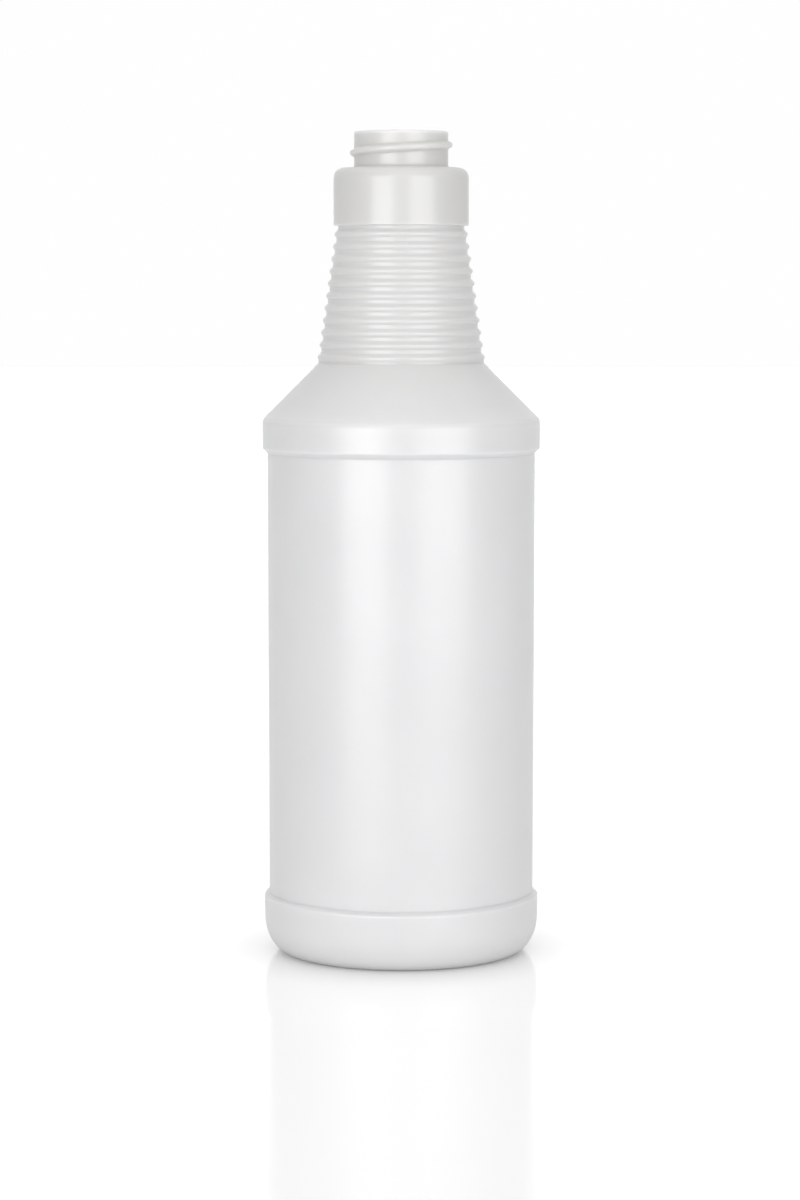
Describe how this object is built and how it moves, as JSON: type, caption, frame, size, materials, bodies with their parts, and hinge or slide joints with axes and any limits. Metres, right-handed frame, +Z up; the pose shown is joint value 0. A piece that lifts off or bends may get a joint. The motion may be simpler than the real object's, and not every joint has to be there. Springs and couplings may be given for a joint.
{
  "type": "plastic carafe bottle",
  "caption": "Round blow-moulded plastic carafe bottle with a ribbed tapered neck, a smooth collar and a threaded 28 mm mouth, open and without a cap.",
  "frame": {"origin": "centre of the standing ring, on the surface that the bottle stands on", "axes": "+Z up along the bottle's axis, towards the mouth; the mould's parting plane is XZ and the front is -Y"},
  "size_m": [0.0744, 0.0744, 0.2204],
  "materials": {
    "natural_hdpe": "uncoloured milky polyethylene, smooth with a soft sheen, lets light through where the wall is thin"
  },
  "bodies": {
    "root": {"bottle": "natural_hdpe"}
  },
  "joints": []
}
